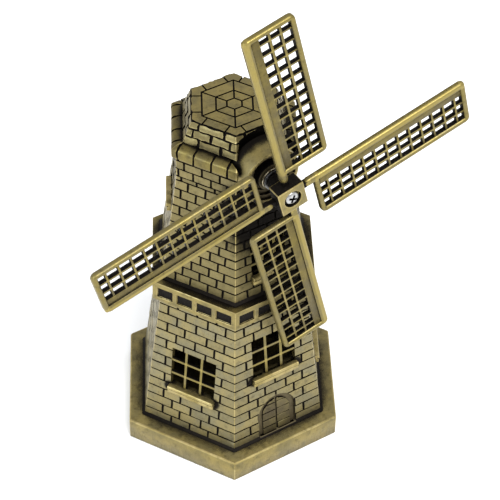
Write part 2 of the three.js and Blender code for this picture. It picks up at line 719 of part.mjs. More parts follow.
windmill.add(piece('shaft_circlip', shaftCirclip(), 'steel'));
windmill.add(piece('thrust_washer', thrustWasher(), 'steel'));
windmill.add(piece('shaft_spacer', shaftSpacer(), 'antique_brass'));
windmill.add(rotorPieces());

export default windmill;
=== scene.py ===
"""Looks of a die-cast souvenir windmill in antique brass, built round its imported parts.

Lengths in this script are in millimetres until make_piece() turns them into metres.
+Z is up and the front, with the door and the sails, looks towards -Y.
"""

import json
import math
import random

import bmesh
import bpy
from mathutils import Matrix, Quaternion, Vector


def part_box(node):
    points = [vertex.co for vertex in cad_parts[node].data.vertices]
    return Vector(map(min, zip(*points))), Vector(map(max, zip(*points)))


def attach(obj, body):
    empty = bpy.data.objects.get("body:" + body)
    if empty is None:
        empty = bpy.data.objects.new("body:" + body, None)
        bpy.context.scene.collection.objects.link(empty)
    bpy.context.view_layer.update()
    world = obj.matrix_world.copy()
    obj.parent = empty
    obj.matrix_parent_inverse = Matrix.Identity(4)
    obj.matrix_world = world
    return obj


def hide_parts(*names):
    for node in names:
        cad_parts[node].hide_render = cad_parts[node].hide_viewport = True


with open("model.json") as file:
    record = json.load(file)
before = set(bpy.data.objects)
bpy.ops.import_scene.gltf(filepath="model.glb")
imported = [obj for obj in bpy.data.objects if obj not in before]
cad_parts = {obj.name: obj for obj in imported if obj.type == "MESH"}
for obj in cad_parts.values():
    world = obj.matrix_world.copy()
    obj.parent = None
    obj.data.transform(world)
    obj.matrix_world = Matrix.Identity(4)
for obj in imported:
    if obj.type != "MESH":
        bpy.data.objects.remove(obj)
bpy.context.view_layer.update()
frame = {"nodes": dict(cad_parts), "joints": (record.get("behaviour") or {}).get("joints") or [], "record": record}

random.seed(7)

MM = 0.001
# the finishes that share a casting, numbered as casting_finishes() lists them
BRASS, PATINA, WORN, BRICK, DUSKY, STONE, BOSS, SAIL, DIM_BRICK, SMOKY, COPING = range(11)


def node_box(node):
    low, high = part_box(node)
    return low / MM, high / MM


# ----- dimensions taken from the frame -----
PLINTH_LOW, PLINTH_HIGH = node_box("base_plinth")
LOWER_LOW, LOWER_HIGH = node_box("lower_tower")
BELT_LOW, BELT_HIGH = node_box("gallery_belt")
UPPER_LOW, UPPER_HIGH = node_box("upper_tower")
CAP_LOW, CAP_HIGH = node_box("roof_cap")
BOSS_LOW, BOSS_HIGH = node_box("shaft_boss")
HUB_CENTRE = Vector(frame["joints"][0]["pos_m"]) / MM  # middle of the hub's front face
SHAFT_FOOT = Vector((0, 0, HUB_CENTRE.z))  # where the shaft's line meets the tower's axis

# ----- driving dimensions -----
# Heights are above the shelf, joints are places across a face, from its middle.
PLINTH_WALL = 2.8
PLINTH_ROUND = 0.35
PLINTH_EDGE = 0.25
BOLT_HOLE = 2.0

SIDES = 6
FIRST_FACE = 30  # degrees, the way that face 0 looks
FLAT = math.cos(math.pi / SIDES)
MITRE = math.tan(math.pi / SIDES)  # half a face's width, per mm of its distance from the axis
FRONT = 4  # the face that looks towards -Y
LEFT, RIGHT, BACK_LEFT, BACK_RIGHT = 3, 5, 2, 0

COVE = 0.9  # fillet round each storey's foot
WALL = 2.2
BED_JOINT = 0.5  # height of the mortar lines
SIDE_JOINT = 0.75
RELIEF = 0.45  # how far the bricks stand out of the mortar
SINK = 0.85  # brick face to the brick's hidden back
BACKING = RELIEF / FLAT  # the same as RELIEF, measured along a corner
UNEVEN = 0.05
CORNER_RUB = 0.16  # half the width of the rubbed edge on a corner brick
WOBBLE = 0.06  # unevenness of a brick's outline
ROUGH_WOBBLE = 0.22  # that of the cap's stones
BRICK_STEP = 1.7  # spacing of the points along a brick
BRICK_EDGE = 0.1
TRIM_EDGE = 0.12

LOWER_TAPER = 7.3  # corner radius lost from foot to top
LOWER_COURSES = 15
LOWER_PITCH = 3.53
LOWER_JOINTS = ((-7.0, 0.0, 7.0), (-10.4, -4.0, 4.0, 10.4))

UPPER_TAPER = 5.6
NECK_FOOT = 107.0
UPPER_COURSES = 12
UPPER_PITCH = 3.18
UPPER_JOINTS = ((-8.4, -3.1, 3.1, 8.4), (-6.05, 0.0, 6.05))
NECK_SPLIT = 1.6  # height of the split course at the neck's foot
NECK_PITCH = 3.05
NECK_JOINTS = ((-9.4, -4.3, 1.8, 7.2), (-7.4, -1.3, 4.8))
BEARING_HOLE = 4.7
BEARING_HOLE_BACK, BEARING_HOLE_FRONT = 8.0, 24.0  # distances from the tower's axis

COPING_JOINTS = (-9.0, -3.5, 2.6, 7.9)
COPING_BAND = 2.3
COPING_TOP = 120.5
DRUM_FOOT_RADIUS = 18.1
DRUM_TOP_RADIUS = 15.0
DRUM_COURSES = 3
DRUM_JOINT = 0.95
DRUM_JOINTS = ((-3.9, 3.7), (-6.2, 0.0, 6.4), (-4.7, 3.9))
CAP_WALL = 2.6
CAP_ROOF = 3.2
ROOF_LINE = 0.5
ROOF_EDGE = 0.07
ROOF_RINGS = (2.6, 6.35, 11.25)
ROOF_CHIP = 0.45  # unevenness of its outer edge
ROOF_JOINT = 3.8  # border joints, from the middle of each side
NICHE_MARGIN = 0.6
NICHE_SHOULDER = 1.7
NICHE_CROWN = 0.4  # top of its arch, below the roof
NICHE_KERB = 0.3  # its sides stay upright this far above the coping
NICHE_DEPTH = 1.7  # from the boss's rear face
NICHE_WALL = 1.4

BELT_BORE = 20.0
BELT_EDGE = 0.14
BELT_GAP = 0.3
SLEEVE_GAP = 0.6  # between the belt's sleeve and the storey's inside
SLEEVE_WALL = 1.6
BELT_PANELS = 4
BELT_PANEL_PITCH = 7.0
BELT_PANEL_WIDTH = 5.6
BELT_PANEL_HEIGHT = 4.0
BELT_PANEL_DROP = 4.0
BELT_PANEL_DEPTH = 0.5

PANES = 3
BAR_WIDTH = 0.95
BAR_SETBACK = 0.12
BAR_DEPTH = 1.1
BAR_ROOT = 0.5  # the bars run this far into the wall
BAR_STAGGER = 0.05  # the bars across are this much thinner, front and back
SILL_OVERHANG = 0.4
SILL_DROP = 1.0  # middle of the sill, below the opening
SILL_SECTION = (  # (out from the face, up from the opening's foot)
    (-0.4, -3.0), (0.95, -3.0), (1.15, -2.8), (1.15, -1.55), (0.75, -1.4),
    (0.75, -1.2), (1.55, -1.1), (1.55, -0.25), (1.3, 0.0), (-0.4, 0.0),
)
LARGE_WINDOW = (16.1, 15.5)
SMALL_WINDOW = (12.4, 12.2)
LOWER_WINDOWS = ((LEFT, 26.0), (FRONT, 35.5), (RIGHT, 26.0))
UPPER_WINDOWS = ((FRONT, 77.0), (BACK_LEFT, 93.8), (BACK_RIGHT, 93.8))

DOOR_HALF_WIDTH = 7.1
DOOR_SPRING = 17.2
DOOR_RECESS = 1.0
DOOR_MARGIN = 1.9
DOOR_STEP = 0.3
DOOR_GAP = 0.6
LEAF_SETBACK = 0.4
LEAF_THICKNESS = 1.2
PLANK_PITCH = 3.1
PLANK_GAP = 0.28

BOSS_RADIUS = 9.6
BOSS_LENGTH = 7.6
BOSS_BARREL = ((0.9, 0.0), (0.5, 1.6), (0.2, 4.0))  # (out from the radius, forward from the back)
BOSS_NOSE = ((0.0, 0.6), (-0.12, 0.2), (-0.45, 0.0))  # (out from the radius, back from the front)
BOSS_RIM = 1.25
BOSS_STEPS = 3
BOSS_STEP_WIDTH = 1.2
BOSS_STEP_DEPTH = 1.0
BOSS_SEAT_SETBACK = 0.3
BOSS_BORE = 2.95
EASE = 0.15  # small rounding of turned edges
CUT_OVERSHOOT = 0.2  # a cutter starts this far outside the surface
SLEEVE_GROOVE = 0.25
SLEEVE_RIB = 0.6

SAILS = 4
REST_ANGLE = -14.3  # degrees that the first sail leans from upright
SAIL_SETBACK = 1.7
SAIL_THICKNESS = 2.2
SAIL_START, SAIL_END = 8.8, 64.2
SAIL_CORNER = 1.8
SPAR_HALF_WIDTH = 1.3
SPAR_TIP = 5.6
SPAR_CROWN = 0.9  # height of its half-round front
SPAR_ENDS = (  # (distance before the tip or after the end, share of the full section)
    (0.0, 0.3), (0.15, 0.6), (0.6, 0.88), (1.4, 1.0),
)
REAR_BREAK = 0.35  # blackened chamfer along the sail's rear edge
PEG_HALF_WIDTH = 0.9
PEG_START = 3.2
PEG_SETBACK = 0.3
SAIL_FAR_EDGE = 15.7
RIM_WIDTH = 1.8
RIM_ROUND = (  # (in from the outer wall, back from the front)
    (0.0, 0.8), (0.12, 0.4), (0.4, 0.1), (0.8, 0.0), (1.2, 0.06), (1.5, 0.25), (1.7, 0.6),
)
RIM_INNER_DROP = 1.0
TRAY_DEPTH = 0.6
LATTICE_START = 3.7
LATTICE_COLUMNS, LATTICE_ROWS = 3, 13
LATTICE_ROW_PITCH = 4.25
LATTICE_BAR = 0.8
LATTICE_THICKNESS = 1.6
LATTICE_EDGE = 0.1
LATTICE_ROOT = 0.4  # the ends of the bars are let into the rim
LATTICE_STAGGER = 0.04  # the bars across are this much thinner, front and back

HUB_SIZE = 9.0
HUB_THICKNESS = 5.2
HUB_EDGE = 0.3
COUNTERBORE_RADIUS = 2.85
COUNTERBORE_DEPTH = 1.5
SCREW_RADIUS = 2.3
SCREW_HEIGHT = 1.3
SCREW_CROWN = ((0.0, 0.5), (-0.1, 0.75), (-0.4, 1.0), (-0.9, 1.2))  # (out from its radius, forward)
SCREW_FLAT = 0.9
SCREW_SHANK = 1.05
SCREW_LENGTH = 5.5
SCREW_LIFT = 0.15
CROSS_REACH, CROSS_HALF_WIDTH = 1.6, 0.4
CROSS_FOOT_REACH, CROSS_FOOT_HALF_WIDTH = 0.8, 0.25
CROSS_DEPTH = 1.0
CROSS_TURNS = (20, 110)

# Colours are linear, lengths of the finish are in millimetres.
GOLDEN = (0.27, 0.215, 0.078)
AGED = (0.23, 0.187, 0.08)
SATIN = (0.215, 0.171, 0.052)
WARM = (0.285, 0.235, 0.105)
OLIVE = (0.19, 0.158, 0.07)
GREYED = (0.225, 0.20, 0.115)
SMOKED = (0.12, 0.098, 0.055)
RUBBED = (0.40, 0.325, 0.145)
TAWNY = (0.15, 0.122, 0.052)
SOOT = (0.009, 0.0075, 0.006)
BLACKENED = (0.010, 0.008, 0.006)
BOSS_FADE = (-19.0, -13.5)
SAIL_SHADOW_PATCH = ([(4.0, -18.0, 101.0)], 8.0, 28.0)  # painted shade: the patch under the hub where the sails and the hub shadow the tower's front
NEAR_REACH = 2.0
FAR_REACH = 9.0
EDGE_REACH = 0.3


# ----- closed bodies: (points, faces, material index of each face) -----
def along_face(face, apothem, u, z):
    """A point at that distance from the axis, u to the right when the face is seen from outside."""
    angle = math.radians(FIRST_FACE + face * 360 / SIDES)
    out = Vector((math.cos(angle), math.sin(angle), 0))
    right = Vector((-out.y, out.x, 0))
    return out * apothem + right * u + Vector((0, 0, z))


def grid_block(outer, inner, worn=None):
    """A brick between two grids of points, each a list of columns from left to right.

    worn is the number of a column of faces that is rubbed bright.
    """
    columns, rows = len(outer), len(outer[0])
    points = [p for column in outer for p in column] + [p for column in inner for p in column]

    def front(c, r):
        return c * rows + r

    def back(c, r):
        return (columns + c) * rows + r

    faces, finishes = [], []
    for c in range(columns - 1):
        for r in range(rows - 1):
            faces.append((front(c, r), front(c + 1, r), front(c + 1, r + 1), front(c, r + 1)))
            faces.append((back(c, r), back(c, r + 1), back(c + 1, r + 1), back(c + 1, r)))
            finishes += [WORN if c == worn else BRICK, PATINA]
        end = rows - 1
        faces.append((front(c, 0), back(c, 0), back(c + 1, 0), front(c + 1, 0)))
        faces.append((front(c, end), front(c + 1, end), back(c + 1, end), back(c, end)))
        finishes += [PATINA, PATINA]
    for r in range(rows - 1):
        end = columns - 1
        faces.append((front(0, r), front(0, r + 1), back(0, r + 1), back(0, r)))
        faces.append((front(end, r), back(end, r), back(end, r + 1), front(end, r + 1)))
        finishes += [PATINA, PATINA]
    return points, faces, finishes


def prism(front, back, finish=BRASS, side=None, rear=None):
    """A closed body between two outlines with as many points. The front one runs anticlockwise."""
    count = len(front)
    side = finish if side is None else side
    rear = side if rear is None else rear
    faces = [tuple(range(count)), tuple(reversed(range(count, 2 * count)))]
    faces += [(i, i + count, (i + 1) % count + count, (i + 1) % count) for i in range(count)]
    return [*front, *back], faces, [finish, rear] + [side] * count


def lofted(loops, finish=BRASS, closed=False):
    """A closed body through loops of points: capped at both ends, or closed into a ring."""
    size, count = len(loops[0]), len(loops)
    points = [p for loop in loops for p in loop]
    faces = []
    for a in range(count if closed else count - 1):
        b = (a + 1) % count
        for i in range(size):
            j = (i + 1) % size
            faces.append((a * size + i, a * size + j, b * size + j, b * size + i))
    if not closed:
        faces.append(tuple(reversed(range(size))))
        faces.append(tuple(range(len(points) - size, len(points))))
    return points, faces, [finish] * len(faces)


def hexagon(radius, z):
    corners = [math.radians(60 * k) for k in range(SIDES)]
    return [Vector((radius * math.cos(a), radius * math.sin(a), z)) for a in corners]


def hex_shell(profile, finish=BRASS):
    """A six-sided tube through a closed profile of (corner radius, height)."""
    return lofted([hexagon(radius, z) for radius, z in profile], finish, closed=True)


def circle(radius, height, segments):
    turns = [i * 2 * math.pi / segments for i in range(segments)]
    return [Vector((radius * math.cos(t), -height, radius * math.sin(t))) for t in turns]


def turned(profile, centre, segments=64, finish=BRASS, closed=True):
    """A body turned about -Y through centre: profile is (radius, distance to the front)."""
    circles = [circle(radius, height, segments) for radius, height in profile]
    return moved(lofted(circles, finish, closed), Matrix.Translation(centre))


def box(low, high, finish=BRASS, side=None, rear=None):
    """A box whose front looks towards -Y."""
    outline = rectangle(low[0], high[0], low[2], high[2])
    return prism(upright(outline, low[1]), upright(outline, high[1]), finish, side, rear)


def rectangle(left, right, low, high):
    return [(left, low), (right, low), (right, high), (left, high)]


def upright(outline, y):
    """The points (x, z) of an outline, stood up at that y."""
    return [Vector((x, y, z)) for x, z in outline]


def moved(body, matrix):
    points, faces, finishes = body
    return [matrix @ p for p in points], faces, finishes


# ----- objects -----
def make_object(name, bodies, materials=None):
    """One mesh from closed bodies, with the castings' finishes unless other materials are given."""
    points, faces, finishes = [], [], []
    for body_points, body_faces, body_finishes in bodies:
        start = len(points)
        points += [p * MM for p in body_points]
        faces += [tuple(start + i for i in face) for face in body_faces]
        finishes += body_finishes
    mesh = bpy.data.meshes.new(name)
    mesh.from_pydata(points, [], faces)
    mesh.polygons.foreach_set("material_index", finishes)
    for material in FINISHES if materials is None else materials:
        mesh.materials.append(material)
    shape = bmesh.new()
    shape.from_mesh(mesh)
    bmesh.ops.recalc_face_normals(shape, faces=shape.faces)
    shape.to_mesh(mesh)
    shape.free()
    obj = bpy.data.objects.new(name, mesh)
    bpy.context.scene.collection.objects.link(obj)
    return obj


def apply_modifiers(obj):
    graph = bpy.context.evaluated_depsgraph_get()
    mesh = bpy.data.meshes.new_from_object(obj.evaluated_get(graph))
    obj.modifiers.clear()
    obj.data = mesh
    return obj


def carved(obj, bodies, operation="DIFFERENCE"):
    """Cuts the bodies out of obj, or keeps only what lies in them. Cut faces get a body's finish."""
    for index, body in enumerate(bodies):
        cutter = make_object(f"cutter_{index}", [body], obj.data.materials)
        cut = obj.modifiers.new("cut", "BOOLEAN")
        cut.operation = operation
        cut.solver = "EXACT"
        cut.object = cutter
        apply_modifiers(obj)
        bpy.data.objects.remove(cutter)
    return obj


def bevelled(obj, width, segments=1, worn=False):
    bevel = obj.modifiers.new("edges", "BEVEL")
    bevel.width = width * MM
    bevel.segments = segments
    bevel.limit_method = "ANGLE"
    bevel.angle_limit = math.radians(32)
    bevel.material = WORN if worn else -1
    return apply_modifiers(obj)


def keep_used_materials(mesh, materials):
    """Gives the mesh those of the materials that its faces are numbered for, and renumbers them."""
    used = sorted({polygon.material_index for polygon in mesh.polygons})
    for index in used:
        mesh.materials.append(materials[index])
    for polygon in mesh.polygons:
        polygon.material_index = used.index(polygon.material_index)


def make_piece(name, objects, replaces, body="tower", smooth=35):
    """Joins the objects into one piece that rides on a body and stands for its CAD nodes."""
    shape = bmesh.new()
    for obj in objects:
        shape.from_mesh(obj.data)
    mesh = bpy.data.meshes.new(name)
    shape.to_mesh(mesh)
    shape.free()
    keep_used_materials(mesh, objects[0].data.materials)
    mesh.shade_smooth()
    mesh.set_sharp_from_angle(angle=math.radians(smooth))
    piece = bpy.data.objects.new(name, mesh)
    bpy.context.scene.collection.objects.link(piece)
    for obj in objects:
        bpy.data.objects.remove(obj)
    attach(piece, body)
    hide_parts(*replaces)


# ----- materials -----
def add_node(tree, kind, links=(), **settings):
    """A shader node with plain settings. links are (input, socket or value)."""
    node = tree.nodes.new("ShaderNode" + kind)
    for key, value in settings.items():
        setattr(node, key, value)
    for key, value in links:
        if isinstance(value, bpy.types.NodeSocket):
            tree.links.new(value, node.inputs[key])
        else:
            node.inputs[key].default_value = value
    return node


def new_material(name, **plain):
    material = bpy.data.materials.new(name)
    material.use_nodes = True
    tree = material.node_tree
    shader = tree.nodes["Principled BSDF"]
    for key, value in plain.items():
        shader.inputs[key].default_value = value
    return material, tree, shader


def noise(tree, scale, detail=3.0, stretch=(1, 1, 1)):
    """Noise in millimetres: scale is in features per mm."""
    where = add_node(tree, "TexCoord")
    scales = [s / MM for s in stretch]
    mapping = add_node(tree, "Mapping", [("Vector", where.outputs["Object"]), ("Scale", scales)])
    return add_node(tree, "TexNoise", [
        ("Vector", mapping.outputs["Vector"]), ("Scale", scale), ("Detail", detail), ("Roughness", 0.6),
    ]).outputs["Fac"]


def ramp(tree, value, low, high, start=0.0, end=1.0):
    """value from low..high turned smoothly into start..end."""
    names = ("Value", "From Min", "From Max", "To Min", "To Max")
    links = zip(names, (value, low, high, start, end))
    return add_node(tree, "MapRange", links, interpolation_type="SMOOTHSTEP").outputs["Result"]


def mix(tree, factor, a, b):
    a, b = [c if isinstance(c, bpy.types.NodeSocket) else (*c, 1) for c in (a, b)]
    return add_node(tree, "Mix", [("Factor", factor), (6, a), (7, b)], data_type="RGBA").outputs[2]


def maths(tree, operation, a, b):
    return add_node(tree, "Math", [(0, a), (1, b)], operation=operation).outputs[0]


def add_bump(tree, shader, height, strength, distance):
    bump = add_node(tree, "Bump", [
        ("Height", height), ("Strength", strength), ("Distance", distance * MM),
    ])
    tree.links.new(bump.outputs["Normal"], shader.inputs["Normal"])


def add_weighted(tree, total, value, weight):
    return maths(tree, "ADD", total, maths(tree, "MULTIPLY", value, weight))


def crevices(tree, reach, alone=False, inside=False):
    """0 on open metal, 1 deep in a corner, looking that many millimetres round.

    inside looks into the metal instead, which finds the convex edges.
    """
    opening = add_node(tree, "AmbientOcclusion", [("Distance", reach * MM)],
                       samples=8, only_local=alone, inside=inside)
    return maths(tree, "SUBTRACT", 1.0, opening.outputs["AO"])


def facing_up(tree):
    """0 on faces that look down or sideways, 1 on the ledges where polish doesn't reach."""
    normal = add_node(tree, "NewGeometry").outputs["True Normal"]
    height = add_node(tree, "SeparateXYZ", [("Vector", normal)]).outputs["Z"]
    return ramp(tree, height, -0.1, 0.6, 0.12, 1.0)


def near_points(tree, points, inner, outer):
    """1 within the inner distance of one of the points, 0 beyond the outer distance of them all."""
    where = add_node(tree, "TexCoord").outputs["Object"]
    total = None
    for point in points:
        away = add_node(tree, "VectorMath", [(0, where), (1, [c * MM for c in point])],
                        operation="DISTANCE").outputs["Value"]
        close = ramp(tree, away, inner * MM, outer * MM, 1.0, 0.0)
        total = close if total is None else maths(tree, "MAXIMUM", total, close)
    return total


def sill_ends():
    """Points beside the ends of the lower sills."""
    storey = lower_faces()
    edge = LARGE_WINDOW[0] / 2 + SILL_OVERHANG
    return [storey.point(face, u, storey.slope_at(bottom - SILL_DROP))
            for face, bottom in LOWER_WINDOWS for u in (-edge, edge)]


def antiqued(name, bright, dull, near, far, edge_gain, islands, roughness, fade=None, patina_and_shade_spots=None):
    """Antiqued brass, wandering between bright and dull, with black patina where polish didn't reach.

    near and far weigh the patina left in narrow crevices and in wide corners. edge_gain above 0
    rubs the edges bright, below 0 it leaves them dark. islands varies the tone from brick to brick.
    fade is where along Y, from open metal to fully black, the patina thickens. The last argument
    darkens the metal round points, as patina beside the sill ends and as painted shade under the hub:
    the points, and the distances at which it is black and open.
    """
    material, tree, shader = new_material(name, Metallic=0.95)
    clouds = noise(tree, 0.16, 4)
    blotches = noise(tree, 0.45, 5)
    specks = noise(tree, 1.6, 5)
    grain = noise(tree, 5.0, 4)
    brushing = noise(tree, 4.0, 3, stretch=(1.0, 1.0, 0.12))
    dim = [c * 0.4 for c in dull]
    metal = mix(tree, ramp(tree, clouds, 0.35, 0.65), dull, bright)
    tone = add_node(tree, "NewGeometry").outputs["Random Per Island"]
    metal = mix(tree, maths(tree, "MULTIPLY", tone, islands), metal, dim)
    metal = mix(tree, ramp(tree, blotches, 0.5, 0.75, 0.0, 0.6), metal, dim)
    metal = mix(tree, ramp(tree, specks, 0.54, 0.78, 0.0, 0.5), metal, (0.05, 0.038, 0.025))
    edge = crevices(tree, EDGE_REACH, inside=True)
    if edge_gain > 0:
        rubbed = maths(tree, "MULTIPLY", ramp(tree, edge, 0.1, 0.5), edge_gain)
        metal = mix(tree, rubbed, metal, [min(c * 1.6, 0.8) for c in bright])
    depth = maths(tree, "MULTIPLY", crevices(tree, NEAR_REACH, alone=True), near)
    wide = maths(tree, "MULTIPLY", crevices(tree, FAR_REACH), facing_up(tree))
    depth = add_weighted(tree, depth, wide, far)
    depth = add_weighted(tree, depth, blotches, 0.35)
    if edge_gain < 0:
        depth = add_weighted(tree, depth, edge, -edge_gain)
    if fade:
        where = add_node(tree, "TexCoord").outputs["Object"]
        along = add_node(tree, "SeparateXYZ", [("Vector", where)]).outputs["Y"]
        depth = maths(tree, "ADD", depth, ramp(tree, along, fade[0] * MM, fade[1] * MM, 0.0, 0.8))
    # patina beside the sill ends, painted shade under the hub: darker round the given points
    if patina_and_shade_spots:
        depth = add_weighted(tree, depth, near_points(tree, *patina_and_shade_spots), 0.9)
    patina = ramp(tree, depth, 0.36, 0.82)
    colour = mix(tree, patina, metal, BLACKENED)
    tree.links.new(colour, shader.inputs["Base Color"])
    shine = ramp(tree, brushing, 0.3, 0.7, roughness - 0.06, roughness + 0.1)
    tree.links.new(add_weighted(tree, shine, patina, 0.2), shader.inputs["Roughness"])
    surface = maths(tree, "ADD", maths(tree, "ADD", brushing, grain), specks)
    add_bump(tree, shader, surface, 0.45, 0.05)
    return material


def casting_finishes():
    """The finishes that share a casting, in the order of their slots."""
    return (
        antiqued("antique_brass", GOLDEN, OLIVE, 0.7, 2.3, 0.6, 0.0, 0.42),
        antiqued("black_patina", SOOT, SOOT, 0.2, 0.2, 0.1, 0.0, 0.6),
        antiqued("worn_brass", RUBBED, GOLDEN, 0.4, 1.2, 0.3, 0.0, 0.36),
        antiqued("brick_brass", WARM, GREYED, 1.1, 0.1, -0.15, 0.3, 0.46, patina_and_shade_spots=(sill_ends(), 0.0, 3.4)),
        antiqued("dusky_brass", OLIVE, SMOKED, 0.2, 0.4, 0.2, 0.4, 0.5),
        antiqued("stone_brass", AGED, OLIVE, 0.7, 2.6, 0.45, 0.45, 0.42),
        antiqued("boss_brass", GOLDEN, OLIVE, 0.5, 1.6, 0.6, 0.0, 0.42, BOSS_FADE),
        antiqued("sail_brass", SATIN, OLIVE, 0.8, 0.5, 0.6, 0.0, 0.42),
        antiqued("dim_brick_brass", AGED, OLIVE, 1.1, 0.1, -0.15, 0.35, 0.46, patina_and_shade_spots=SAIL_SHADOW_PATCH),
        antiqued("smoky_brass", SMOKED, SMOKED, 0.4, 0.3, 0.2, 0.0, 0.55),
        antiqued("coping_brass", SATIN, TAWNY, 0.8, 2.8, 0.45, 0.3, 0.44),
    )


# ----- brickwork -----
def at_corner(apothem):
    return apothem * MITRE


def spread(start, end, step):
    """Evenly spaced values from start to end, no further apart than step."""
    count = max(1, math.ceil((end - start) / step))
    return [start + (end - start) * i / count for i in range(count + 1)]


def brick_course(profile, joints, sunk, wobble=WOBBLE, side_joint=SIDE_JOINT):
    """A ring of bricks. profile and sunk are lists of (apothem, z), for the bricks' faces and backs."""
    half = side_joint / 2

    def station(face, u, line, lift, at_edge=False):
        """A column of points up the brick. An infinite u stands for the face's rubbed corners."""
        column = []
        for apothem, z in line:
            out = apothem + lift + random.uniform(-wobble, wobble) * 0.5
            side = u
            if math.isinf(u):
                side = math.copysign(at_corner(out) - CORNER_RUB, u)
            if at_edge:
                side += random.uniform(-wobble, wobble)
            column.append(along_face(face, out, side, z + random.uniform(-wobble, wobble)))
        return column

    def brick(stations, worn=None):
        lift = random.uniform(-UNEVEN, UNEVEN)
        last = len(stations) - 1
        outer = [station(f, u, profile, lift, i in (0, last)) for i, (f, u) in enumerate(stations)]
        inner = [station(f, u, sunk, lift) for f, u in stations]
        return grid_block(outer, inner, worn)

    bodies = []
    bend = at_corner(min(profile[0][0], profile[-1][0]))
    before, after = joints[-1] + half, joints[0] - half
    for face in range(SIDES):
        following = (face + 1) % SIDES
        for left, right in zip(joints, joints[1:]):
            bodies.append(brick([(face, u) for u in spread(left + half, right - half, BRICK_STEP)]))
        near_side = [(face, u) for u in spread(before, bend, BRICK_STEP)[:-1]]
        far_side = [(following, u) for u in spread(-bend, after, BRICK_STEP)[1:]]
        corner = [(face, math.inf), (following, -math.inf)]
        bodies.append(brick([*near_side, *corner, *far_side], worn=len(near_side)))
    return bodies


def refinished(courses, finish):
    """The same bricks with another finish on their faces."""
    return [(points, faces, [finish if f == BRICK else f for f in finishes])
            for points, faces, finishes in courses]


class Storey:
    """Six tapered faces. s is the distance up their slope."""

    def __init__(self, foot, foot_radius, top, top_radius):
        self.foot = foot
        self.apothem = foot_radius * FLAT
        self.lean = math.atan2((foot_radius - top_radius) * FLAT, top - foot)

    def line(self, s, out=0.0):
        return self.apothem - s * math.sin(self.lean) + out, self.foot + s * math.cos(self.lean)

    def slope_at(self, z):
        return (z - self.foot) / math.cos(self.lean)

    def point(self, face, u, s, out=0.0):
        apothem, z = self.line(s, out)
        return along_face(face, apothem, u, z)

    def course(self, low, high, joints, wobble=WOBBLE, side_joint=SIDE_JOINT):
        low, high = low + BED_JOINT / 2, high - BED_JOINT / 2
        rows = spread(low, high, (high - low) / 2)
        faces, backs = [self.line(s) for s in rows], [self.line(s, -SINK) for s in rows]
        return brick_course(faces, joints, backs, wobble, side_joint)

    def plate(self, face, outline, front, back, finish=BRASS, side=None):
        """An outline in (u, s), solid from front to back, both measured outwards from the face."""
        near, far = [[self.point(face, u, s, out) for u, s in outline] for out in (front, back)]
        return prism(near, far, finish, side)

    def moulding(self, face, left, right, section):
        """A bar along the face from left to right. The section is in (out, s)."""
        ends = [[self.point(face, u, s, out) for out, s in section] for u in (right, left)]
        return prism(*ends, WORN)


def lower_faces():
    """The faces of the lower storey."""
    radius = LOWER_HIGH.x - COVE
    return Storey(PLINTH_HIGH.z, radius, LOWER_HIGH.z, radius - LOWER_TAPER)


def window_opening(storey, face, bottom, size):
    width, height = size
    s = storey.slope_at(bottom)
    return storey.plate(face, rectangle(-width / 2, width / 2, s, s + height), WALL, -2 * WALL)


def window_frame(storey, face, bottom, size):
    """Glazing bars and the sill under them."""
    width, height = size
    s = storey.slope_at(bottom)
    front, back = -BAR_SETBACK, -BAR_SETBACK - BAR_DEPTH
    bodies = []
    for index in range(1, PANES):
        left = -width / 2 + index * (width + BAR_WIDTH) / PANES - BAR_WIDTH
        upright = rectangle(left, left + BAR_WIDTH, s - BAR_ROOT, s + height + BAR_ROOT)
        bodies.append(storey.plate(face, upright, front, back, SAIL, PATINA))
        low = s + index * (height + BAR_WIDTH) / PANES - BAR_WIDTH
        across = rectangle(-width / 2 - BAR_ROOT, width / 2 + BAR_ROOT, low, low + BAR_WIDTH)
        bodies.append(storey.plate(face, across, front - BAR_STAGGER, back + BAR_STAGGER, SAIL, PATINA))
    edge = width / 2 + SILL_OVERHANG
    section = [(out, s + up) for out, up in SILL_SECTION]
    bodies.append(storey.moulding(face, -edge, edge, section))
    return bodies


def arch(half_width, low, spring, steps=16):
    """An outline in (u, s): upright sides under a half circle."""
    turn = math.pi / steps
    curve = [(half_width * math.cos(i * turn), spring + half_width * math.sin(i * turn))
             for i in range(steps + 1)]
    return [(-half_width, low), (half_width, low), *curve]


def door(storey):
    """Two planked leaves under an arch."""
    half_width = DOOR_HALF_WIDTH - DOOR_MARGIN
    spring = storey.slope_at(DOOR_SPRING)
    front, back = -LEAF_SETBACK, -LEAF_SETBACK - LEAF_THICKNESS
    planks = []
    for index in range(math.ceil((spring + half_width) / PLANK_PITCH)):
        low = index * PLANK_PITCH + PLANK_GAP / 2
        high = low + PLANK_PITCH - PLANK_GAP
        for left, right in ((-DOOR_HALF_WIDTH, -DOOR_GAP / 2), (DOOR_GAP / 2, DOOR_HALF_WIDTH)):
            plank = rectangle(left, right, low, high)
            planks.append(storey.plate(FRONT, plank, front, back, DUSKY, PATINA))
    leaves = make_object("planks", planks)
    outline = storey.plate(FRONT, arch(half_width, DOOR_STEP, spring), WALL, -2 * WALL, PATINA)
    return carved(leaves, [outline], "INTERSECT")


def foot_cove(radius, z):
    """The hollow fillet round a storey's foot, in (corner radius, height)."""
    return [(radius + COVE, z), (radius + COVE / 4, z + COVE * 0.45), (radius - BACKING, z + COVE)]


# ----- castings -----
def plinth():
    radius, low, top = PLINTH_HIGH.x, PLINTH_LOW.z, PLINTH_HIGH.z
    inner = radius - PLINTH_WALL
    body = hex_shell([
        (radius, low), (radius, top - PLINTH_ROUND), (radius - PLINTH_ROUND, top),
        (BOLT_HOLE, top), (BOLT_HOLE, top - WALL), (inner, top - WALL), (inner, low),
    ])
    shell = bevelled(make_object("plinth", [body]), PLINTH_EDGE, worn=True)
    make_piece("plinth_casting", [shell], ["base_plinth"])


